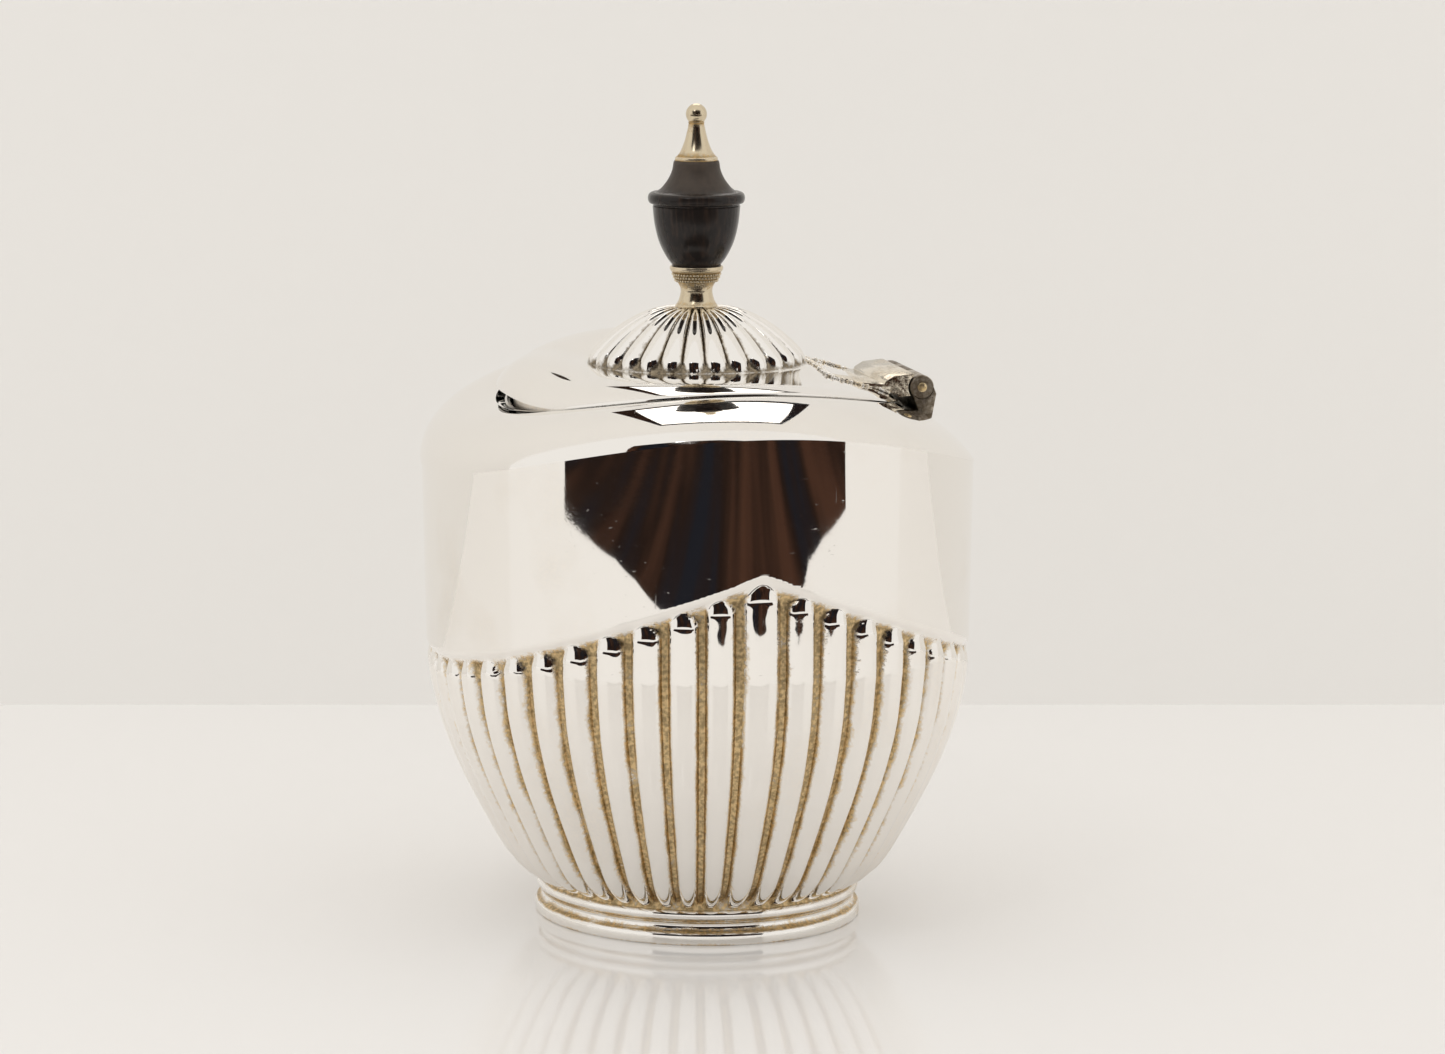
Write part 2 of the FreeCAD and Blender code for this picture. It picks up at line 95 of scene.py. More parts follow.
class CaddyLidSettings(bpy.types.PropertyGroup):
    """Sizes of the lid, its dome and its knob."""

    sheet: bpy.props.FloatProperty(
        name="Sheet", description="Thickness of the lid, mm", default=0.9)
    gap: bpy.props.FloatProperty(
        name="Gap", description="Gap between mouth and lid, mm", default=0.35)
    lift: bpy.props.FloatProperty(
        name="Thumb Lift", description="Raise of the rim at the thumb lift, mm", default=2.2)
    lift_angle: bpy.props.FloatProperty(
        name="Lift Angle", description="Half angle of the thumb lift",
        default=math.radians(34), subtype="ANGLE")
    hole: bpy.props.FloatProperty(
        name="Hole", description="Radius of the hole under the dome, mm", default=18.4)
    dome_radius: bpy.props.FloatProperty(
        name="Dome Radius", description="Radius of the fluted dome, mm", default=20.3)
    dome_base: bpy.props.FloatProperty(
        name="Dome Base", description="Height of the foot of the dome, mm", default=99.5)
    dome_top: bpy.props.FloatProperty(
        name="Dome Top", description="Height of the collar seat, mm", default=109.4)
    dome_pad: bpy.props.FloatProperty(
        name="Dome Pad", description="Radius of the collar seat, mm", default=4.6)
    dome_lobes: bpy.props.IntProperty(
        name="Dome Lobes", description="Gadroons round the dome", default=28)
    dome_groove: bpy.props.FloatProperty(
        name="Dome Groove", description="Depth between the dome's gadroons, mm", default=0.95)
    knurls: bpy.props.IntProperty(
        name="Knurls", description="Beads round the collar", default=44)


class CaddyFinishSettings(bpy.types.PropertyGroup):
    """Colours of the metal and the wood."""

    silver: bpy.props.FloatVectorProperty(
        name="Silver", description="Polished silver", size=3, subtype="COLOR",
        default=(0.93, 0.905, 0.865))
    tarnish: bpy.props.FloatVectorProperty(
        name="Tarnish", description="Golden brown film in the grooves", size=3,
        subtype="COLOR", default=(0.35, 0.26, 0.14))
    bronze: bpy.props.FloatVectorProperty(
        name="Old Hinge", description="Dark film on the hinge", size=3, subtype="COLOR",
        default=(0.085, 0.066, 0.045))
    ebony: bpy.props.FloatVectorProperty(
        name="Ebony", description="Dark turned wood", size=3, subtype="COLOR",
        default=(0.014, 0.011, 0.010))


def settings():
    scene = bpy.context.scene
    return scene.caddy_body, scene.caddy_lid, scene.caddy_finish


# ---- mesh helpers
@contextmanager
def edited(mesh):
    """The mesh as a bmesh that is written back at the end."""
    shape = bmesh.new()
    shape.from_mesh(mesh)
    yield shape
    shape.to_mesh(mesh)
    shape.free()


def linked(name, data):
    """New object in the scene."""
    thing = bpy.data.objects.new(name, data)
    bpy.context.scene.collection.objects.link(thing)
    return thing


def finished(name, verts, faces, material, **marks):
    """Mesh object in metres from millimetre points, faces outward, with point attributes."""
    mesh = bpy.data.meshes.new(name)
    mesh.from_pydata([(x * MM, y * MM, z * MM) for x, y, z in verts], [], faces)
    with edited(mesh) as shape:
        bmesh.ops.recalc_face_normals(shape, faces=shape.faces)
    for key, values in marks.items():
        mesh.attributes.new(key, "FLOAT", "POINT").data.foreach_set("value", values)
    mesh.materials.append(material)
    return linked(name, mesh)


def smoothed(piece, angle=40.0):
    """Smooth shading with the edges sharper than the angle left crisp."""
    limit = math.radians(angle)
    with edited(piece.data) as shape:
        for face in shape.faces:
            face.smooth = True
        for edge in shape.edges:
            edge.smooth = len(edge.link_faces) == 2 and edge.calc_face_angle() < limit
    return piece


def softened(points, steps=6):
    """Smooth line through (radius, height, groove) points."""
    line = []
    for i in range(len(points) - 1):
        before = Vector(points[max(i - 1, 0)])
        a, b = Vector(points[i]), Vector(points[i + 1])
        after = Vector(points[min(i + 2, len(points) - 1)])
        for n in range(steps):
            t = n / steps
            line.append(0.5 * ((2 * a) + (b - before) * t
                               + (2 * before - 5 * a + 4 * b - after) * t * t
                               + (3 * a - before - 3 * b + after) * t ** 3))
    line.append(Vector(points[-1]))
    return line


def ring_faces(rows, columns):
    """Quads between rings of points and from the last ring back to the first."""
    faces = []
    for i in range(rows):
        a, b = i * columns, (i + 1) % rows * columns
        for n in range(columns):
            m = (n + 1) % columns
            faces.append((a + n, a + m, b + m, b + n))
    return faces


def lathe(name, outline, material, ratio=1.0, segments=96):
    """Turned piece from (radius, height, groove) points; ratio stretches it along Y."""
    verts, groove = [], []
    for radius, height, mark in outline:
        for n in range(segments):
            a = TAU * n / segments
            verts.append((radius * math.cos(a), ratio * radius * math.sin(a), height))
            groove.append(mark)
    faces = ring_faces(len(outline), segments)
    return smoothed(finished(name, verts, faces, material, groove=groove))


# ---- shared outlines
def saddle(angle, level, rise):
    return level - rise * math.cos(2 * angle)


def crease_height(angle):
    body = settings()[0]
    return saddle(angle, body.crease_height, body.crease_rise)


def mouth_height(angle):
    body = settings()[0]
    swell = max(0.0, math.cos(angle - 0.75 * math.pi)) ** 2
    return saddle(angle, body.mouth_height, body.mouth_rise) + body.mouth_swell * swell


def thumb_lift(angle):
    """Extra height of the lid rim near -X."""
    lid = settings()[1]
    away = abs(math.atan2(math.sin(angle), -math.cos(angle)))
    if away >= lid.lift_angle:
        return 0.0
    return lid.lift * math.cos(0.5 * math.pi * away / lid.lift_angle) ** 1.5


def shoulder_point(angle, step, inset):
    """Radius and height on the shoulder, step 0 at the crease and 1 at the mouth."""
    body = settings()[0]
    turn = 0.5 * math.pi * step
    full = 0.72 - 0.33 * math.cos(angle)
    across = full * (1 - math.cos(turn)) + (1 - full) * step
    up = full * math.sin(turn) + (1 - full) * step
    radius = body.crease_radius - inset - across * (body.crease_radius - body.mouth_radius)
    low, high = crease_height(angle), mouth_height(angle)
    return radius, low + up * (high - low) - 0.35 * inset * step


def lid_step(radius):
    """0 at the rim of the lid and 1 at the hole under the dome."""
    body, lid, _ = settings()
    return (body.mouth_radius - radius) / (body.mouth_radius - lid.hole)


def lid_height(angle, radius):
    """Top of the lid from its rim up to the foot of the dome."""
    lid = settings()[1]
    rim = mouth_height(angle) + lid.gap + lid.sheet + thumb_lift(angle)
    step = lid_step(radius)
    bulge = 1.4 - 1.2 * math.cos(angle) + 1.2 * math.sin(angle)
    return rim + (lid.dome_base - rim) * step + bulge * math.sin(math.pi * max(step, 0) ** 0.7)


def rim_share(radius):
    """1 at the rim of the lid, 0 from a quarter of the way in."""
    return max(0.0, 1.0 - 4.0 * lid_step(radius)) ** 2


def lid_ratio(radius):
    """Plan ratio of the lid: oval at the rim, round under the dome."""
    return 1.0 + (settings()[0].plan_ratio - 1.0) * (1.0 - lid_step(radius))


WALL_FOOT = (50.0, 48.5)
BOWL_STATIONS = ((5.6, 26.0), (8.0, 30.6), (12.2, 34.6), (22.4, 40.3), (31.4, 44.4),
                 (40.6, 47.2), WALL_FOOT)
BOWL_LINE = [(p.y, p.x) for p in softened([(r, z, 0) for z, r in BOWL_STATIONS], 12)]


def bowl_radius(height):
    """Half width of the bowl at a height, from the foot to the plain wall."""
    body = settings()[0]
    foot, radius = WALL_FOOT
    if height >= foot:
        share = (height - foot) / (body.crease_height + body.crease_rise + 2.0 - foot)
        return radius + share * (body.crease_radius - radius)
    for (z0, r0), (z1, r1) in zip(BOWL_LINE, BOWL_LINE[1:]):
        if z0 <= height <= z1:
            return r0 + (r1 - r0) * (height - z0) / (z1 - z0)
    return BOWL_LINE[0][1]


# ---- geometry nodes
class Tree:
    """Small helper that adds and links nodes of one node tree."""

    def __init__(self, tree):
        self.tree = tree

    def add(self, kind, *inputs, **options):
        node = self.tree.nodes.new(kind)
        for key, value in options.items():
            setattr(node, key, value)
        for index, value in enumerate(inputs):
            self.feed(node.inputs[index], value)
        return node

    def feed(self, socket, value):
        if value is None:
            return
        if isinstance(value, bpy.types.NodeSocket):
            self.tree.links.new(value, socket)
        else:
            socket.default_value = value

    def math(self, operation, a, b=None, clamp=False):
        return self.add("ShaderNodeMath", a, b, operation=operation, use_clamp=clamp).outputs[0]

    def plus(self, a, b):
        return self.math("ADD", a, b)

    def minus(self, a, b):
        return self.math("SUBTRACT", a, b)

    def times(self, a, b):
        return self.math("MULTIPLY", a, b)

    def ratio(self, a, b):
        return self.math("DIVIDE", a, b)

    def fill(self, node, sockets):
        """Sets or links inputs given by name."""
        for name, value in sockets.items():
            self.feed(node.inputs[name], value)
        return node

    def named(self, kind, sockets, **options):
        """Node with its inputs given by name."""
        return self.fill(self.add(kind, **options), sockets)

    def share(self, value, low, high, **options):
        """0 where the value is low, 1 where it is high."""
        return self.add("ShaderNodeMapRange", value, low, high, 0.0, 1.0, **options).outputs[0]

    def noise(self, place, scale, detail, stretch=None, turn=(0.0, 0.0, 0.0)):
        if stretch:
            place = self.named("ShaderNodeMapping", {
                "Vector": place, "Scale": stretch, "Rotation": turn}).outputs[0]
        return self.named("ShaderNodeTexNoise", {
            "Vector": place, "Scale": scale, "Detail": detail}).outputs[0]

    def object_place(self):
        return self.add("ShaderNodeTexCoord").outputs["Object"]

    def blend(self, factor, a, b):
        """Mix of two colours."""
        return self.named("ShaderNodeMix", {"Factor": factor, "A": a, "B": b},
                          data_type="RGBA").outputs["Result"]

    def bump(self, strength, distance, height):
        return self.named("ShaderNodeBump", {
            "Strength": strength, "Distance": distance, "Height": height}).outputs[0]


def new_group(name, kind, inputs, outputs):
    """Node group with named sockets; a number stands for a float with that default."""
    tree = bpy.data.node_groups.new(name, kind)
    for side, sockets in (("INPUT", inputs), ("OUTPUT", outputs)):
        for title, value in sockets.items():
            number = isinstance(value, float)
            socket = tree.interface.new_socket(
                name=title, in_out=side, socket_type="NodeSocket" + ("Float" if number else value))
            if number:
                socket.default_value = value
    t = Tree(tree)
    return t, t.add("NodeGroupInput").outputs


# where the hollow above the lobe ends starts and how wide it is, in half lobe widths
MOAT_START = 0.38
MOAT_WIDTH = 0.8


def gadroon_tree():
    """Geometry nodes that raise round-ended lobes and sink the grooves between them.

    The mesh carries four numbers at each point: across, from 0 at a lobe's middle to 1 at
    its edge; along, the distance inside the lobe's round end; half, half a lobe's width;
    and below, the distance below the smooth line through all the lobe ends.
    """
    t, given = new_group("Gadroon relief", "GeometryNodeTree", {
        "Geometry": "Geometry", "Groove Depth": 0.0012, "Lobe Proud": 0.0004, "Lobe Share": 0.8,
        "Hand Wobble": 0.00008, "Material": "Material"}, {"Geometry": "Geometry"})

    def reading(name):
        return t.add("GeometryNodeInputNamedAttribute", name, data_type="FLOAT").outputs[0]

    across, along, half = reading("across"), reading("along"), reading("half")
    below = reading("below")
    side = t.ratio(t.math("ABSOLUTE", across), given["Lobe Share"])
    reach = t.ratio(t.minus(half, along), half)
    end = t.math("MAXIMUM", reach, 0.0)
    spread = t.plus(t.times(side, side), t.times(end, end))
    inside = t.math("MAXIMUM", t.minus(1.0, spread), 0.0)
    lobe = t.math("POWER", inside, 0.5)
    start = t.plus(below, t.times(half, MOAT_START))
    ramp = t.ratio(start, t.times(half, MOAT_WIDTH))
    valley = t.share(ramp, 0.0, 1.0, interpolation_type="SMOOTHSTEP")
    sunk = t.times(given["Groove Depth"], valley)
    raised = t.times(t.plus(sunk, given["Lobe Proud"]), lobe)
    noise = t.noise(t.add("GeometryNodeInputPosition").outputs[0], 90.0, 2.0)
    wobble = t.times(t.minus(noise, 0.5), given["Hand Wobble"])
    move = t.plus(t.minus(raised, sunk), t.times(wobble, valley))
    normal = t.add("GeometryNodeInputNormal").outputs[0]
    offset = t.named("ShaderNodeVectorMath", {"Scale": move}, operation="SCALE")
    t.feed(offset.inputs[0], normal)
    shifted = t.named("GeometryNodeSetPosition", {
        "Geometry": given["Geometry"], "Offset": offset.outputs[0]})
    recess = t.times(valley, t.minus(1.0, lobe))
    stored = t.named("GeometryNodeStoreNamedAttribute", {
        "Geometry": shifted.outputs[0], "Name": "groove", "Value": recess},
        data_type="FLOAT", domain="POINT")
    return close_tree(t, stored.outputs[0], given["Material"])


def bead_tree():
    """Geometry nodes that set a small bead on every point of the input mesh."""
    t, given = new_group("Beads on points", "GeometryNodeTree", {
        "Geometry": "Geometry", "Bead Radius": 0.0003, "Flatten": 0.6, "Variation": 0.0,
        "Material": "Material"}, {"Geometry": "Geometry"})
    bead = t.named("GeometryNodeMeshIcoSphere", {
        "Radius": given["Bead Radius"], "Subdivisions": 2})
    low = t.minus(1.0, given["Variation"])
    high = t.plus(1.0, given["Variation"])
    chance = t.named("FunctionNodeRandomValue", {"Seed": 7}, data_type="FLOAT")
    t.feed(chance.inputs[2], low)
    t.feed(chance.inputs[3], high)
    wide = chance.outputs[1]
    squash = t.add("ShaderNodeCombineXYZ", wide, wide, t.times(wide, given["Flatten"]))
    turn = t.named("FunctionNodeAlignEulerToVector", {
        "Vector": t.add("GeometryNodeInputNormal").outputs[0]}, axis="Z")
    spread = t.named("GeometryNodeInstanceOnPoints", {
        "Points": given["Geometry"], "Instance": bead.outputs["Mesh"],
        "Rotation": turn.outputs[0], "Scale": squash.outputs[0]})
    real = t.add("GeometryNodeRealizeInstances", spread.outputs[0])
    smooth = t.add("GeometryNodeSetShadeSmooth", real.outputs[0])
    return close_tree(t, smooth.outputs[0], given["Material"])


def close_tree(t, geometry, material):
    """Realize Instances and Set Material at the end of a tree."""
    real = t.add("GeometryNodeRealizeInstances", geometry)
    painted = t.named("GeometryNodeSetMaterial", {
        "Geometry": real.outputs[0], "Material": material})
    t.add("NodeGroupOutput", painted.outputs[0])
    return t.tree


def evaluated(piece, name):
    """Plain mesh of a piece with its modifiers applied."""
    graph = bpy.context.evaluated_depsgraph_get()
    mesh = bpy.data.meshes.new_from_object(piece.evaluated_get(graph))
    mesh.name = name
    return mesh


def worked(piece, tree, values, name):
    """Runs a node tree on a piece and returns the result as a plain mesh piece."""
    modifier = piece.modifiers.new("Rule", "NODES")
    modifier.node_group = tree
    for item in tree.interface.items_tree:
        if item.item_type == "SOCKET" and item.in_out == "INPUT" and item.name in values:
            modifier[item.identifier] = values[item.name]
    mesh = evaluated(piece, name)
    source = piece.data
    bpy.data.objects.remove(piece)
    bpy.data.meshes.remove(source)
    return linked(name, mesh)


# ---- materials
def polish_group():
    """Roughness and height of hand-polished metal: scratches, smears, soft dents."""
    t, given = new_group("Hand polish", "ShaderNodeTree", {
        "Base Roughness": 0.06, "Scratches": 0.3, "Smears": 0.05, "Dents": 0.3},
        {"Roughness": "Float", "Height": "Float"})
    place = t.object_place()
    fine = t.noise(place, 2600.0, 2.0, (1.0, 1.0, 0.06), (0.5, 0.2, 0.3))
    cross = t.noise(place, 2200.0, 2.0, (0.05, 1.0, 1.0), (0.1, 0.6, 0.9))
    mark = t.share(t.math("MAXIMUM", fine, cross), 0.71, 0.82)
    patch = t.share(t.noise(place, 60.0, 3.0), 0.35, 0.75)
    smear = t.times(patch, given["Smears"])
    scratch = t.times(mark, given["Scratches"])
    rough = t.plus(given["Base Roughness"], smear)
    rough = t.plus(rough, t.times(scratch, 0.16))
    dents = t.times(t.noise(place, 38.0, 1.0), given["Dents"])
    height = t.minus(dents, t.times(scratch, 0.02))
    t.add("NodeGroupOutput", rough, height)


def tarnish_group():
    """Mask of the brown film: thick in recesses, stippled at its edge, blotchy outside."""
    t, given = new_group("Old tarnish", "ShaderNodeTree", {
        "Recess": 0.0, "Amount": 1.0, "Blotches": 0.15}, {"Mask": "Float", "Stipple": "Float"})
    place = t.object_place()
    grain = t.noise(place, 1500.0, 3.0)
    cloud = t.noise(place, 160.0, 4.0)
    wander = t.times(t.minus(grain, 0.5), 0.75)
    drift = t.times(t.minus(cloud, 0.5), 0.9)
    level = t.plus(given["Recess"], t.plus(wander, drift))
    thick = t.share(level, 0.45, 0.85)
    stained = t.plus(t.noise(place, 45.0, 5.0), t.times(wander, 0.12))
    loose = t.times(t.share(stained, 0.56, 0.72), given["Blotches"])
    mask = t.math("MAXIMUM", t.times(thick, given["Amount"]), loose)
    t.add("NodeGroupOutput", mask, t.share(grain, 0.38, 0.62))


def new_material(name):
    """Material with the tree helper and its Principled shader."""
    material = bpy.data.materials.new(name)
    material.use_nodes = True
    return material, Tree(material.node_tree), material.node_tree.nodes["Principled BSDF"]


def silver(name, recess=0.0, amount=1.0, blotches=0.08, roughness=0.07, scratches=0.5,
           smears=0.02, dents=0.35, film=None, bump=0.12, tint=(1.0, 1.0, 1.0)):
    """Polished silver with a brown film in its recesses; recess None reads the groove attribute."""
    finish = settings()[2]
    material, t, shader = new_material(name)
    groups = bpy.data.node_groups
    polish = t.named("ShaderNodeGroup", {
        "Base Roughness": roughness, "Scratches": scratches, "Smears": smears, "Dents": dents},
        node_tree=groups["Hand polish"])
    if recess is None:
        recess = t.add("ShaderNodeAttribute", attribute_name="groove").outputs["Fac"]
    tarnish = t.named("ShaderNodeGroup", {
        "Recess": recess, "Amount": amount, "Blotches": blotches},
        node_tree=groups["Old tarnish"])
    mask, stipple = tarnish.outputs["Mask"], tarnish.outputs["Stipple"]
    dark = tuple(film or finish.tarnish)
    light = tuple(min(1.0, c * 2.1) for c in dark)
    clean = tuple(a * b for a, b in zip(finish.silver, tint))
    shade = t.blend(stipple, dark + (1.0,), light + (1.0,))
    crust = t.times(t.times(mask, stipple), 0.06)
    relief = t.plus(polish.outputs["Height"], crust)
    t.fill(shader, {
        "Base Color": t.blend(mask, clean + (1.0,), shade), "Metallic": 1.0,
        "Roughness": t.plus(polish.outputs["Roughness"], t.times(mask, 0.34)),
        "Normal": t.bump(bump, 0.0015, relief)})
    return material


def ebony(name):
    """Dark close-grained wood, turned and rubbed with wax, paler and rougher on its cap."""
    base = tuple(settings()[2].ebony)
    material, t, shader = new_material(name)
    place = t.object_place()
    grain = t.noise(place, 1400.0, 4.0, (1.0, 1.0, 0.08))
    height = t.add("ShaderNodeSeparateXYZ", place).outputs["Z"]
    # From 129.5 mm up, the cap is coloured a paler grey brown and made rougher, varied by noise.
    cap = t.share(height, 0.1295, 0.1315)
    cap_mottle = t.noise(place, 300.0, 2.0)
    cap_pale_share = t.times(cap, t.plus(cap_mottle, 0.35))
    brown = t.blend(t.share(grain, 0.45, 0.7), base + (1.0,),
                    (base[0] * 2.2, base[1] * 1.8, base[2] * 1.5, 1.0))
    colour_with_pale_cap = t.blend(t.math("MULTIPLY", cap_pale_share, 0.75, clamp=True), brown, (0.085, 0.065, 0.050, 1.0))
    t.fill(shader, {
        "Base Color": colour_with_pale_cap, "Roughness": t.plus(0.17, t.times(cap_pale_share, 0.35)),
        "Specular IOR Level": 0.26, "Normal": t.bump(0.15, 0.0003, grain)})
    return material


# ---- body pieces
UNWORKED = -10.0    # distance that keeps a point out of the relief, mm


def quarter_marks():
    """Plan angles from an end of the plan to a side, with each point's place in its lobe.

    Returns (angle from the end, across, centre of its lobe, half width) for a quarter.
    """
    body = settings()[0]
    wide = 0.5 * body.wide_lobe
    pitch = (0.5 * math.pi - wide) / body.side_lobes
    marks = []
    for n in range(7):
        marks.append((wide * n / 7, n / 7, 0.0, wide))
    for lobe in range(body.side_lobes):
        start = wide + lobe * pitch
        for n in range(12):
            across = abs(n / 6 - 1)
            marks.append((start + pitch * n / 12, across, start + 0.5 * pitch, 0.5 * pitch))
    marks.append((0.5 * math.pi, 1.0, 0.5 * math.pi - 0.5 * pitch, 0.5 * pitch))
    return marks


def round_marks():
    """The quarter marks mirrored to the full plan, as (plan angle, across, centre, half)."""
    quarter = quarter_marks()
    first = [(0.5 * math.pi - m[0], *m[1:]) for m in reversed(quarter)]
    second = [(math.pi - a, *rest) for a, *rest in reversed(first[:-1])]
    half = first + second[:-1]
    half.append((math.pi, *second[-1][1:]))
    full = half[:-1]
    full += [(a + math.pi, *rest) for a, *rest in half[:-1]]
    return full


def flute_top(from_end):
    body = settings()[0]
    return body.flute_low + body.flute_rise * (1 - abs(math.sin(from_end))) ** 0.9


def gadrooned(name, points, marks, columns, material, values):
    """Closed piece of rings run through the gadroon relief."""
    keys = ("across", "along", "half", "below")
    layers = {key: [mark[n] for mark in marks] for n, key in enumerate(keys)}
    faces = ring_faces(len(points) // columns, columns)
    piece = finished(name + "_base", points, faces, material, **layers)
    tree = bpy.data.node_groups.get("Gadroon relief") or gadroon_tree()
    return smoothed(worked(piece, tree, {**values, "Material": material}, name), 55.0)


WALL = 1.6
FLUTE_ZONE_TOP = 72.0


def build_fluted_body(material):
    """Bowl and wall with their lobes, an inside skin and a closed bottom."""
    body = settings()[0]
    marks = round_marks()
    columns = len(marks)
    levels = [5.6, 6.4, 7.2] + [7.9 + (43.0 - 7.9) * n / 34 for n in range(35)]
    levels += [43.0 + (FLUTE_ZONE_TOP - 43.0) * n / 68 for n in range(1, 69)]
    rings = [[(bowl_radius(z), z)] * columns for z in levels]
    for n in range(1, 10):
        heights = [FLUTE_ZONE_TOP + n / 9 * (crease_height(a) - FLUTE_ZONE_TOP)
                   for a, *_ in marks]
        rings.append([(bowl_radius(z), z) for z in heights])
    fluted = len(rings)
    rings.append([(body.crease_radius - WALL, crease_height(a)) for a, *_ in marks])
    inside = [(bowl_radius(z) - WALL - max(0.0, 12.0 - z) * 0.4, z)
              for z in (70.0, 50.0, 41.0, 32.0, 23.0, 15.0, 10.5)]
    inside += [(20.0, 6.0), (8.0, 5.3), (0.4, 5.2), (0.4, 3.6), (8.0, 3.6), (20.0, 3.7)]
    rings += [[point] * columns for point in inside]
    points, values = [], []
    for index, ring in enumerate(rings):
        for (radius, z), (angle, side, centre, width) in zip(ring, marks):
            points.append((radius * math.cos(angle),
                           body.plan_ratio * radius * math.sin(angle), z))
            spread = math.hypot(math.sin(angle), body.plan_ratio * math.cos(angle))
            half = max(width * radius * spread * 0.92, 0.8)
            along = below = UNWORKED
            if index < fluted:
                from_end = math.asin(abs(math.cos(angle)))
                along = flute_top(centre) - z
                below = min(flute_top(from_end) - z, 3.0 * (z - 6.6))
            values.append((side, MM * along, MM * half, MM * below))
    return gadrooned("fluted_bowl", points, values, columns, material, {
        "Groove Depth": body.groove_depth * MM, "Lobe Proud": body.lobe_proud * MM,
        "Lobe Share": 0.80, "Hand Wobble": 0.0001})


def sheet_ring(name, outer, inner, material, segments=192):
    """Closed sheet from rows of outer and inner functions of the plan angle."""
    rows = outer + inner[::-1]
    points = [row(TAU * n / segments) for row in rows for n in range(segments)]
    faces = ring_faces(len(rows), segments)
    return smoothed(finished(name, points, faces, material), 50.0)


def oval_row(radius, height, ratio):
    """Row function for sheet_ring from radius and height functions."""
    return lambda a: (radius(a) * math.cos(a), ratio * radius(a) * math.sin(a), height(a))


def build_shoulder(material):
    """Cushion shoulder with a rolled mouth edge."""
    body = settings()[0]

    def row(step, inset):
        return oval_row(lambda a: shoulder_point(a, step, inset)[0],
                        lambda a: shoulder_point(a, step, inset)[1], body.plan_ratio)

    def edge(shift, drop):
        return oval_row(lambda a: body.mouth_radius + shift,
                        lambda a: mouth_height(a) - drop, body.plan_ratio)

    outer = [row(n / 24, 0.0) for n in range(24)] + [edge(0.25, 0.02), edge(-0.3, 0.12)]
    inner = [row(n / 6, 1.5) for n in range(7)]
    return sheet_ring("shoulder_skin", outer, inner, material)


def build_foot(material):
    """Oval moulded foot: rim, cove, bead and neck, dull in its hollows."""
    body = settings()[0]
    r = 29.1
    rim = [(r - 0.5, 0.0, 0.5), (r - 0.1, 0.15, 0.6), (r, 0.7, 0.2), (r, 1.6, 0.1),
           (r - 0.15, 2.05, 0.5), (r - 0.45, 2.3, 1.0)]
    cove = [(r - 0.5, 2.35, 1.0), (r - 1.05, 2.7, 0.7), (r - 1.3, 3.3, 0.4),
            (r - 1.15, 3.9, 0.5), (r - 0.85, 4.25, 1.0)]
    bead = [(r - 0.8, 4.3, 1.0), (r - 0.42, 4.7, 0.3), (r - 0.3, 5.2, 0.15),
            (r - 0.42, 5.75, 0.35), (r - 0.85, 6.15, 1.0)]
    neck = [(r - 0.9, 6.2, 1.0), (r - 0.95, 6.9, 0.9), (r - 0.9, 7.6, 1.0)]
    inside = [(26.5, 6.4, 0.6), (26.5, 3.0, 0.8), (26.6, 0.0, 0.9)]
    outline = [p for part in (rim, cove, bead, neck) for p in softened(part, 4)]
    return lathe("foot_moulding", outline + inside, material, body.plan_ratio, 192)


def ring_piece(name, outer, top, bottom, material):
    """Thin upright ring that follows the mouth."""
    def row(radius, shift):
        return oval_row(lambda a: radius, lambda a: mouth_height(a) + shift,
                        settings()[0].plan_ratio)

    inner = outer - 1.0
    middle = 0.5 * (outer + inner)
    outside = [row(outer, bottom + 0.3), row(outer, top - 0.3), row(middle, top)]
    inside = [row(middle, bottom), row(inner, bottom + 0.3), row(inner, top - 0.3)]
    return sheet_ring(name, outside, inside, material, 160)


# ---- lid pieces
def build_lid_sheet(material):
    """Lid from its rolled rim to the hole under the dome."""
    body, lid, _ = settings()
    span = body.mouth_radius - lid.hole

    def row(radius, drop, thinned=0.8):
        return oval_row(
            lambda a: radius,
            lambda a: lid_height(a, radius) - drop - thinned * rim_share(radius),
            lid_ratio(radius))

    rim = body.mouth_radius
    outer = [row(rim, 0.30), row(rim - 0.04, 0.12), row(rim - 0.16, 0.03)]
    outer += [row(rim - 0.3 - (span - 0.3) * (n / 34) ** 1.2, 0.0) for n in range(35)]
    inner = [row(rim - 0.25 - (span - 0.25) * (n / 14) ** 1.2, lid.sheet, 0.25)
             for n in range(15)]
    return sheet_ring("lid_sheet", outer, inner, material)


def dome_point(radius):
    """Height of the dome surface at a radius."""
    lid = settings()[1]
    share = max(0.0, (radius - lid.dome_pad) / (lid.dome_radius - lid.dome_pad))
    return lid.dome_base + (lid.dome_top - lid.dome_base) * (1 - min(share, 1.0) ** 1.75) ** 0.85


DOME_COLUMNS = 12    # points across each gadroon of the dome


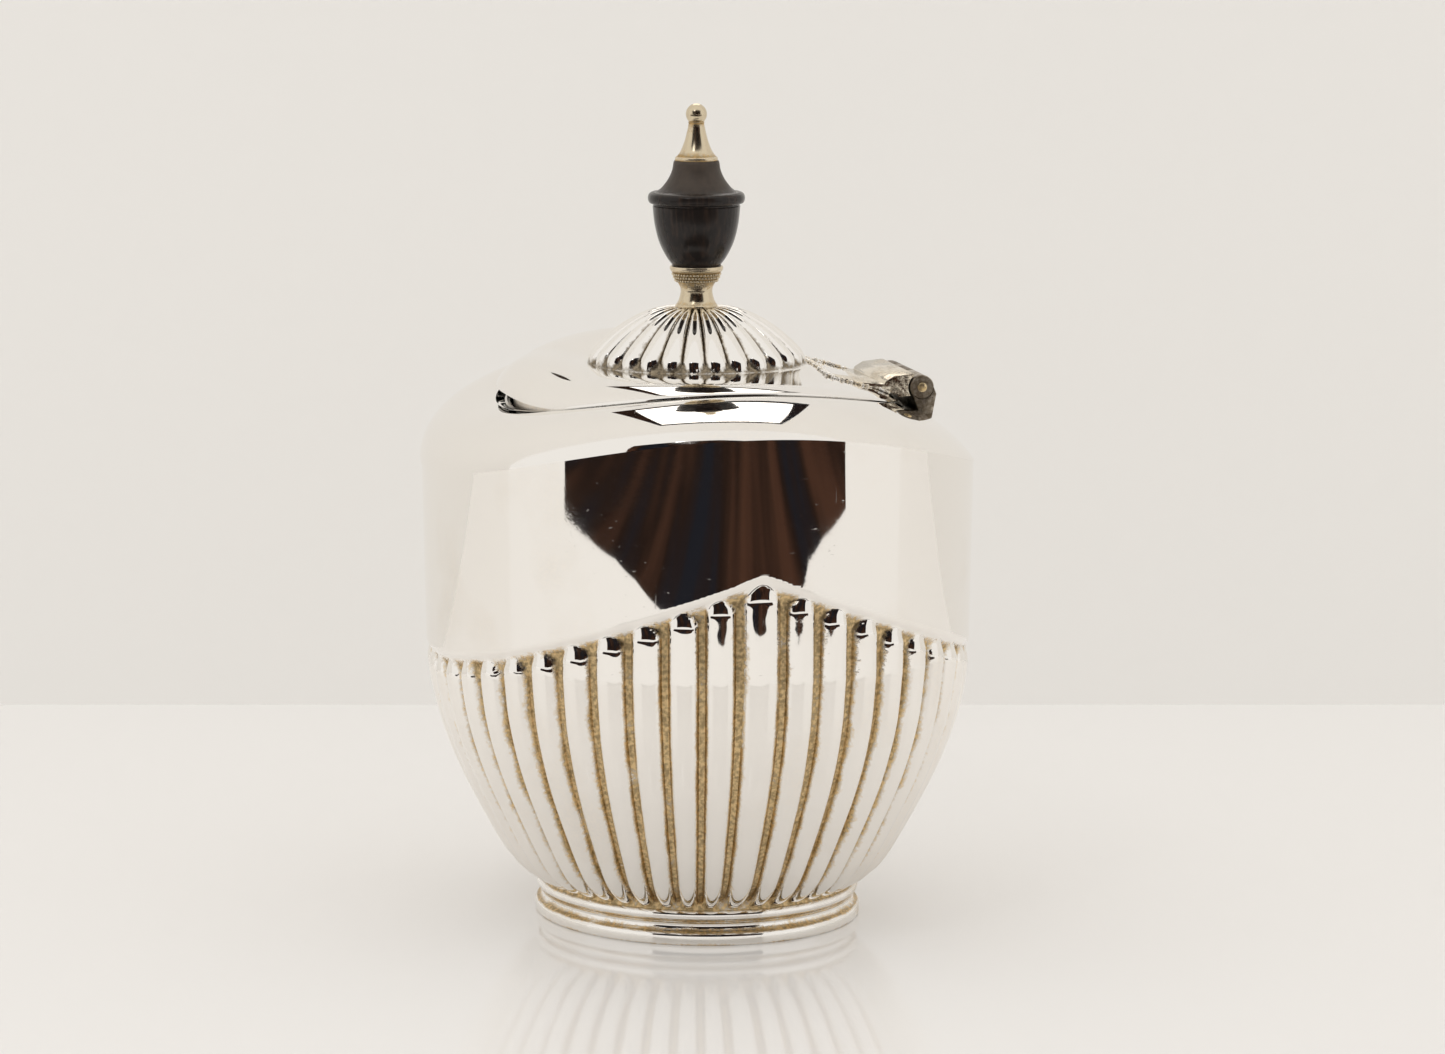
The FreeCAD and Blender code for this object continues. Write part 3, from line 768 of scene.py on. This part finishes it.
def build_dome(material):
    """Small dome with its own gadroons that narrow towards the collar."""
    lid = settings()[1]
    columns = lid.dome_lobes * DOME_COLUMNS
    radii = [3.0] + [lid.dome_pad + (lid.dome_radius - lid.dome_pad) * (n / 46) for n in range(47)]
    rings = [(r, dome_point(r)) for r in radii]
    rim, foot = rings[-1]
    rings += [(rim + 0.02, foot - 0.7), (rim - 0.9, foot - 1.2)]
    rings += [(19.0 - 3.2 * n, dome_point(19.8 - 3.2 * n) - 1.3) for n in range(0, 5)]
    rings.append((3.0, lid.dome_top - 1.3))
    points, values = [], []
    for index, (radius, z) in enumerate(rings):
        width = math.pi * radius / lid.dome_lobes
        along = lid.dome_radius - 0.3 - radius if index < len(radii) else UNWORKED
        for n in range(columns):
            a = TAU * (n + 0.5 * DOME_COLUMNS) / columns
            points.append((radius * math.cos(a), radius * math.sin(a), z))
            across = abs((n % DOME_COLUMNS) / (0.5 * DOME_COLUMNS) - 1)
            values.append((across, MM * along, MM * max(0.85 * width, 0.35),
                           MM * along + 0.4 * MM))
    return gadrooned("lid_gadroons", points, values, columns, material, {
        "Groove Depth": lid.dome_groove * MM, "Lobe Proud": 0.25 * MM, "Lobe Share": 0.94,
        "Hand Wobble": 0.0001})


def build_collar(material):
    """Waisted collar with a knurled band of small beads."""
    lid = settings()[1]
    z = lid.dome_top
    foot = [(1.2, z, 0.9), (3.2, z, 0.9), (3.75, z + 0.05, 0.9), (3.8, z + 0.35, 0.5),
            (3.55, z + 0.7, 0.6)]
    waist = [(3.5, z + 0.75, 0.6), (3.15, 110.9, 0.3), (2.85, 112.2, 0.25), (3.0, 113.2, 0.45),
             (3.5, 114.1, 0.7)]
    band = [(3.6, 114.2, 0.9), (3.95, 114.9, 0.7), (4.25, 115.6, 0.8)]
    rim = [(4.3, 115.7, 0.9), (4.72, 116.15, 0.4), (4.8, 116.5, 0.2), (4.7, 116.85, 0.3),
           (4.3, 116.9, 0.6)]
    outline = [p for part in (foot, waist, band, rim) for p in softened(part, 5)]
    outline.append((1.2, 116.9, 0.6))
    collar = lathe("knob_collar_turned", outline, material)
    points = []
    for row, (radius, height) in enumerate(((3.72, 114.3), (3.98, 114.85), (4.2, 115.4))):
        for n in range(lid.knurls):
            a = TAU * (n + 0.5 * (row % 2)) / lid.knurls
            points.append((radius * math.cos(a), radius * math.sin(a), height))
    seeds = finished("knurl_seeds", points, [], material)
    beads = worked(seeds, bead_tree(), {
        "Bead Radius": 0.27 * MM, "Flatten": 1.0, "Variation": 0.12, "Material": material},
        "collar_knurls")
    return collar, beads


def build_ebony(material):
    """Urn knob: bowl, bead and waisted cap."""
    base = [(1.2, 116.9, 0), (4.15, 116.9, 0), (4.35, 117.05, 0)]
    bowl = [(4.4, 117.15, 0), (5.45, 118.6, 0), (6.7, 121.2, 0), (7.5, 124.4, 0),
            (7.85, 127.6, 0)]
    groove = [(7.72, 127.75, 1), (7.78, 127.95, 0)]
    bead = [(7.9, 128.0, 0), (8.45, 128.25, 0), (8.7, 129.0, 0), (8.5, 129.75, 0),
            (7.9, 130.12, 0), (7.25, 130.12, 0)]
    cap = [(6.95, 130.3, 0), (6.1, 131.0, 0), (5.0, 132.5, 0), (4.35, 134.0, 0), (4.12, 135.3, 0),
           (3.95, 135.7, 0)]
    outline = [p for part in (base, bowl, groove, bead, cap) for p in softened(part, 6)]
    outline.append((1.2, 135.7, 0))
    return lathe("ebony_urn", outline, material, 1.0, 112)


def build_finial(material):
    """Silver cone with a stepped foot, a thin neck and a ball."""
    foot = [(0.3, 135.7, 0.9), (3.55, 135.7, 0.9), (3.8, 135.85, 0.7), (3.8, 136.25, 0.3),
            (3.45, 136.5, 0.8)]
    cone = [(3.4, 136.55, 0.8), (2.75, 137.6, 0.3), (2.15, 139.1, 0.2), (1.7, 140.8, 0.3),
            (1.4, 142.2, 0.6)]
    neck = [(1.36, 142.35, 1.0), (1.5, 142.6, 0.6)]
    ball = []
    for n in range(11):
        a = -0.26 * math.pi + (0.76 * math.pi - 0.03) * n / 10
        ball.append((1.9 * math.cos(a), 144.0 + 1.9 * math.sin(a), 0.15))
    outline = [p for part in (foot, cone, neck) for p in softened(part, 6)]
    outline += ball + [(0.02, 145.9, 0.1)]
    return lathe("finial_cone", outline, material, 1.0, 72)


# ---- hinge pieces
HINGE = (38.6, 95.5)
HINGE_HALF = 12.6
KNUCKLE_GAP = 0.3
KNUCKLE_RADIUS = 2.15
PIN_RADIUS = 0.83
KNUCKLES = 5


def knuckle_span(index):
    length = (2 * HINGE_HALF - (KNUCKLES - 1) * KNUCKLE_GAP) / KNUCKLES
    start = -HINGE_HALF + index * (length + KNUCKLE_GAP)
    return start, start + length


def tube(name, start, end, bore, material):
    """One knuckle: tube along Y with softened ends."""
    r = KNUCKLE_RADIUS
    outline = [(bore, start, 0.9), (r - 0.15, start, 0.5), (r, start + 0.15, 0.3),
               (r, end - 0.15, 0.3), (r - 0.15, end, 0.5), (bore, end, 0.9)]
    return along_hinge(lathe(name, outline, material, 1.0, 40))


def along_hinge(piece):
    """Lays a turned piece's own axis on the hinge line."""
    for vertex in piece.data.vertices:
        x, y, z = vertex.co
        vertex.co = (HINGE[0] * MM + x, z, HINGE[1] * MM - y)
    return piece


def build_pin(material):
    r, end = PIN_RADIUS, HINGE_HALF + 0.3
    outline = [(0.02, -end, 0.1), (r - 0.13, -end, 0.1), (r, 0.1 - end, 0.3),
               (r, end - 0.1, 0.3), (r - 0.13, end, 0.1), (0.02, end, 0.1)]
    return along_hinge(lathe("pin_rod", outline, material, 1.0, 32))


def leaf_from_node(name, node, material):
    """Leaf made from a copy of its CAD node, welded, with its long edges softened."""
    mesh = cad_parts[node].data.copy()
    mesh.name = name
    mesh.materials.clear()
    mesh.materials.append(material)
    piece = linked(name, mesh)
    with edited(mesh) as shape:
        bmesh.ops.remove_doubles(shape, verts=shape.verts, dist=2e-6)
        bmesh.ops.recalc_face_normals(shape, faces=shape.faces)
    with edited(mesh) as shape:
        bmesh.ops.dissolve_limit(shape, angle_limit=math.radians(4), verts=shape.verts,
                                 edges=shape.edges)
    bevel = piece.modifiers.new("Soft edges", "BEVEL")
    bevel.width = 0.00018
    bevel.segments = 2
    bevel.limit_method = "ANGLE"
    bevel.angle_limit = math.radians(35)
    made = evaluated(piece, name)
    piece.modifiers.clear()
    piece.data = made
    return smoothed(piece, 30.0)


def hashed(n, salt):
    """Repeatable value from 0 to 1."""
    value = math.sin(n * 12.9898 + salt * 78.233) * 43758.5453
    return value - math.floor(value)


def build_solder(material):
    """Grains of old solder along the foot of the lid leaf."""
    points = []
    for n in range(420):
        y = -HINGE_HALF + 0.3 + (2 * HINGE_HALF - 0.6) * hashed(n, 1)
        x = 22.2 - 1.1 * hashed(n, 2) ** 2
        if n % 3 == 0:
            y = (-1 if n % 2 else 1) * (HINGE_HALF - 0.1 + 0.9 * hashed(n, 4) ** 2)
            x = 22.0 + 10.5 * hashed(n, 5)
        radius = math.hypot(x, y / 1.12)
        angle = math.atan2(y / 1.12, x)
        points.append((x, y, lid_height(angle, radius) + 0.35 * hashed(n, 3)))
    seeds = finished("solder_seeds", points, [], material)
    return worked(seeds, bpy.data.node_groups["Beads on points"], {
        "Bead Radius": 0.24 * MM, "Flatten": 0.8, "Variation": 0.5, "Material": material},
        "lid_solder")


# ---- operators
def paint(node, material):
    """Gives a CAD node its material without touching its mesh."""
    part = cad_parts[node]
    if not part.material_slots:
        part.data.materials.append(material)
    for slot in part.material_slots:
        slot.link = "OBJECT"
        slot.material = material


def place(piece, body, slot, *nodes):
    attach(piece, body)
    if nodes:
        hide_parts(*nodes)


class CADDY_OT_finishes(bpy.types.Operator):
    """Make the shared node groups and the materials"""

    bl_idname = "caddy.finishes"
    bl_label = "Make Finishes"

    def execute(self, context):
        finish = settings()[2]
        polish_group()
        tarnish_group()
        silver("silver_flutes", recess=None, blotches=0.09, dents=0.25, roughness=0.018)
        silver("silver_plain", recess=0.0, blotches=0.06, dents=0.5, roughness=0.025)
        silver("silver_lid", recess=0.0, blotches=0.02, dents=0.45, roughness=0.025)
        silver("silver_dome", recess=None, blotches=0.0, dents=0.2, roughness=0.03,
               film=(0.17, 0.14, 0.10))
        silver("silver_foot", recess=None, amount=1.0, blotches=0.7, dents=0.3, roughness=0.06)
        silver("silver_gilt", recess=None, amount=1.0, blotches=0.8, roughness=0.19,
               film=(0.30, 0.21, 0.10), tint=(0.74, 0.65, 0.49), bump=0.3)
        silver("silver_inside", recess=0.35, amount=0.8, blotches=0.4, roughness=0.25)
        bronze = tuple(finish.bronze)
        silver("hinge_bronze", recess=0.80, amount=0.95, film=bronze, roughness=0.16,
               scratches=1.0, bump=0.4, tint=(0.7, 0.64, 0.55))
        silver("leaf_silver", recess=0.50, amount=0.85, blotches=0.6, film=(0.20, 0.15, 0.09),
               roughness=0.14, scratches=1.0, bump=0.4, tint=(0.88, 0.82, 0.70))
        silver("solder", recess=0.5, amount=0.9, film=(0.45, 0.35, 0.19), roughness=0.2,
               bump=0.6)
        silver("pin_brass", recess=0.6, amount=0.8, film=(0.40, 0.28, 0.12), roughness=0.25,
               tint=(0.8, 0.66, 0.42))
        ebony("ebony_wood")
        return {"FINISHED"}


class CADDY_OT_body(bpy.types.Operator):
    """Build the fluted bowl, the shoulder, the foot and the mouth ring"""

    bl_idname = "caddy.body"
    bl_label = "Build Body"

    def execute(self, context):
        mats = bpy.data.materials
        place(build_fluted_body(mats["silver_flutes"]), "caddy", "silver", "body_shell")
        place(build_shoulder(mats["silver_plain"]), "caddy", "silver", "shoulder")
        place(build_foot(mats["silver_foot"]), "caddy", "silver", "foot_ring")
        outer = settings()[0].mouth_radius - 1.5
        place(ring_piece("mouth_ring", outer, -0.4, -5.0, mats["silver_inside"]),
              "caddy", "silver", "mouth_bezel")
        return {"FINISHED"}


class CADDY_OT_lid(bpy.types.Operator):
    """Build the lid sheet, its dome and its hidden ring"""

    bl_idname = "caddy.lid"
    bl_label = "Build Lid"

    def execute(self, context):
        mats = bpy.data.materials
        place(build_lid_sheet(mats["silver_lid"]), "lid", "silver", "lid_cover")
        place(build_dome(mats["silver_dome"]), "lid", "silver", "lid_dome")
        outer = settings()[0].mouth_radius - 3.1
        place(ring_piece("lid_ring", outer, 1.2, -4.6, mats["silver_inside"]),
              "lid", "silver", "lid_bezel")
        return {"FINISHED"}


class CADDY_OT_knob(bpy.types.Operator):
    """Build the collar, the ebony urn and the finial, and give their fastening a brass finish"""

    bl_idname = "caddy.knob"
    bl_label = "Build Knob"

    def execute(self, context):
        mats = bpy.data.materials
        collar, beads = build_collar(mats["silver_gilt"])
        place(collar, "lid", "silver", "knob_collar")
        place(beads, "lid", "silver")
        place(build_ebony(mats["ebony_wood"]), "lid", "ebony", "knob_body")
        place(build_finial(mats["silver_gilt"]), "lid", "silver", "finial_cap")
        for node in ("knob_rod", "knob_nut", "knob_washer"):
            paint(node, mats["pin_brass"])
        return {"FINISHED"}


class CADDY_OT_hinge(bpy.types.Operator):
    """Build the knuckles, the pin, both leaves and the old solder"""

    bl_idname = "caddy.hinge"
    bl_label = "Build Hinge"

    def execute(self, context):
        mats = bpy.data.materials
        for index in range(KNUCKLES):
            start, end = knuckle_span(index)
            owner, word, bore = (("caddy", "body", 0.85), ("lid", "lid", 0.9))[index % 2]
            number = index // 2 + 1
            piece = tube("%s_tube_%d" % (word, number), start, end, bore, mats["hinge_bronze"])
            place(piece, owner, "tarnished_silver", "%s_knuckle_%d" % (word, number))
        place(build_pin(mats["pin_brass"]), "caddy", "brass", "hinge_pin")
        place(leaf_from_node("leaf_on_shoulder", "hinge_body_leaf", mats["hinge_bronze"]),
              "caddy", "tarnished_silver", "hinge_body_leaf")
        place(leaf_from_node("leaf_on_lid", "hinge_lid_leaf", mats["leaf_silver"]),
              "lid", "tarnished_silver", "hinge_lid_leaf")
        place(build_solder(mats["solder"]), "lid", "tarnished_silver")
        return {"FINISHED"}


def plain_material(name, colour, roughness, see_through_back=False, glow=0.0, shine=0.5):
    """Simple stage finish; the back can be clear so that it hides nothing from behind."""
    material, t, shader = new_material(name)
    t.fill(shader, {"Base Color": colour + (1.0,), "Roughness": roughness,
                    "Specular IOR Level": shine})
    if glow:
        t.fill(shader, {"Emission Color": colour + (1.0,), "Emission Strength": glow})
    if see_through_back:
        clear = t.add("ShaderNodeBsdfTransparent")
        back = t.add("ShaderNodeNewGeometry").outputs["Backfacing"]
        mix = t.add("ShaderNodeMixShader", back, shader.outputs[0], clear.outputs[0])
        out = material.node_tree.nodes["Material Output"]
        t.feed(out.inputs["Surface"], mix.outputs[0])
    return material


def room_material(name):
    """Dim brown and blue-black stripes, like furniture seen far away; clear from behind."""
    material = plain_material(name, (0.03, 0.02, 0.015), 0.9, see_through_back=True, shine=0.0)
    t = Tree(material.node_tree)
    noise = t.noise(t.object_place(), 9.0, 3.0, (1.0, 0.12, 0.3))
    ramp = t.add("ShaderNodeValToRGB", noise)
    first, last = ramp.color_ramp.elements
    first.position, first.color = 0.38, (0.015, 0.016, 0.022, 1.0)
    last.position, last.color = 0.66, (0.07, 0.034, 0.022, 1.0)
    middle = ramp.color_ramp.elements.new(0.5)
    middle.color = (0.022, 0.013, 0.010, 1.0)
    shader = material.node_tree.nodes["Principled BSDF"]
    t.feed(shader.inputs["Base Color"], ramp.outputs[0])
    return material


def stage_card(name, corners, material, seen=True):
    """Flat stage card through four corners in metres."""
    mesh = bpy.data.meshes.new(name)
    mesh.from_pydata(corners, [], [tuple(range(len(corners)))])
    mesh.materials.append(material)
    card = linked(name, mesh)
    card.visible_camera = seen
    card.visible_diffuse = seen
    card.visible_shadow = seen
    return card


CAMERA_AZIMUTH = math.radians(-11.5)
CAMERA_ELEVATION = math.radians(7.89)
CAMERA_DISTANCE = 1.0958
CAMERA_AIM = 0.06966
CAMERA_SIDE = 0.00466
CAMERA_LENS = 151.7
WALL_BEHIND = 0.221


def turned_to_camera(right, away, up):
    """Point given to the right of, behind and above the axis as the camera sees it."""
    c, s = math.cos(CAMERA_AZIMUTH), math.sin(CAMERA_AZIMUTH)
    return (right * c - away * s, right * s + away * c, up)


class CADDY_OT_stage(bpy.types.Operator):
    """Build the table, the backdrop, the tent of light and the camera"""

    bl_idname = "caddy.stage"
    bl_label = "Build Stage"

    def execute(self, context):
        scene = context.scene
        scene.view_settings.view_transform = "Standard"
        scene.view_settings.look = "None"
        world = bpy.data.worlds.new("Tent")
        world.use_nodes = True
        back = world.node_tree.nodes["Background"]
        back.inputs["Color"].default_value = (0.90, 0.88, 0.85, 1.0)
        back.inputs["Strength"].default_value = 1.0
        scene.world = world
        table = plain_material("table_top", (0.87, 0.855, 0.84), 0.08, glow=0.09, shine=0.18)
        wall = plain_material("backdrop", (0.83, 0.815, 0.79), 0.8, see_through_back=True,
                              glow=0.13)
        dark = room_material("room_beyond")
        panel = plain_material("bright_panel", (1.0, 0.97, 0.93), 0.9, glow=1.0, shine=0.0)
        p = turned_to_camera
        stage_card("table", [(-3, -3, 0), (3, -3, 0), (3, 3, 0), (-3, 3, 0)], table)
        w = WALL_BEHIND
        stage_card("backdrop_wall", [p(-2, w, 0), p(2, w, 0), p(2, w, 2), p(-2, w, 2)], wall)
        far = [(math.radians(a), r) for a, r in ((62, 0.50), (50, 0.455), (43, 0.427),
               (38, 0.375), (20, 0.345), (0, 0.345), (-24, 0.372), (-34, 0.405), (-43, 0.434),
               (-54, 0.46), (-66, 0.50))]
        edge = [p(r * math.sin(a), -r * math.cos(a), 0.0004) for a, r in far]
        beyond = [p(2.2 * math.sin(a), -2.2 * math.cos(a), 0.0004) for a, r in reversed(far)]
        stage_card("room_floor", edge + beyond, dark, seen=False)
        top = [p(-0.5, -0.42, 0.60), p(0.55, -0.42, 0.60), p(0.60, -0.60, 0.13),
               p(-0.55, -0.60, 0.13)]
        stage_card("tent_opening", top, dark, seen=False)
        for name, card, half, low, high, back in (
                ("rear_panel_edge", dark, 0.124, 0.20, 0.54, 0.20),
                ("rear_panel", panel, 0.104, 0.21, 0.49, 0.195)):
            corners = [p(-0.4 * half, back, low), p(0.4 * half, back, low), p(half, back, high),
                       p(-half, back, high)]
            stage_card(name, corners, card, seen=False)
        light = bpy.data.lights.new("small_lamp", "AREA")
        light.shape = "SQUARE"
        light.size = 0.12
        light.energy = 0.25
        lamp = linked("small_lamp", light)
        lamp.location = p(-0.22, -0.5, 0.62)
        aim = Vector(lamp.location) - Vector((0, 0, 0.08))
        lamp.rotation_euler = aim.to_track_quat("Z", "Y").to_euler()
        self.add_camera(scene)
        return {"FINISHED"}

    def add_camera(self, scene):
        """Camera at the object's usual view, moved a little sideways, never tilted."""
        lens = bpy.data.cameras.new("view")
        lens.lens = CAMERA_LENS
        lens.sensor_width = 36.0
        lens.clip_start = 0.05
        camera = linked("view", lens)
        a, e = CAMERA_AZIMUTH, CAMERA_ELEVATION
        back = Vector((math.sin(a) * math.cos(e), -math.cos(a) * math.cos(e), math.sin(e)))
        side = Vector((math.cos(a), math.sin(a), 0.0))
        camera.location = Vector((0, 0, CAMERA_AIM)) + back * CAMERA_DISTANCE + side * CAMERA_SIDE
        camera.rotation_euler = back.to_track_quat("Z", "Y").to_euler()
        scene.camera = camera


STEPS = ("finishes", "body", "lid", "knob", "hinge", "stage")


class CADDY_PT_panel(bpy.types.Panel):
    """Buttons that build the caddy step by step"""

    bl_label = "Tea Caddy"
    bl_idname = "CADDY_PT_panel"
    bl_space_type = "VIEW_3D"
    bl_region_type = "UI"
    bl_category = "Tea Caddy"

    def draw(self, context):
        for step in STEPS:
            self.layout.operator("caddy." + step)
        for group in GROUPS:
            owner = getattr(context.scene, group)
            box = self.layout.box()
            for name in owner.__annotations__:
                box.prop(owner, name)


GROUPS = {"caddy_body": CaddyBodySettings, "caddy_lid": CaddyLidSettings,
          "caddy_finish": CaddyFinishSettings}
CLASSES = (*GROUPS.values(), CADDY_OT_finishes, CADDY_OT_body, CADDY_OT_lid, CADDY_OT_knob,
           CADDY_OT_hinge, CADDY_OT_stage, CADDY_PT_panel)


def register():
    for item in CLASSES:
        bpy.utils.register_class(item)
    for name, group in GROUPS.items():
        setattr(bpy.types.Scene, name, bpy.props.PointerProperty(type=group))


def unregister():
    for name in GROUPS:
        delattr(bpy.types.Scene, name)
    for item in reversed(CLASSES):
        bpy.utils.unregister_class(item)


def main():
    register()
    for step in STEPS:
        getattr(bpy.ops.caddy, step)()


if __name__ == "__main__":
    main()
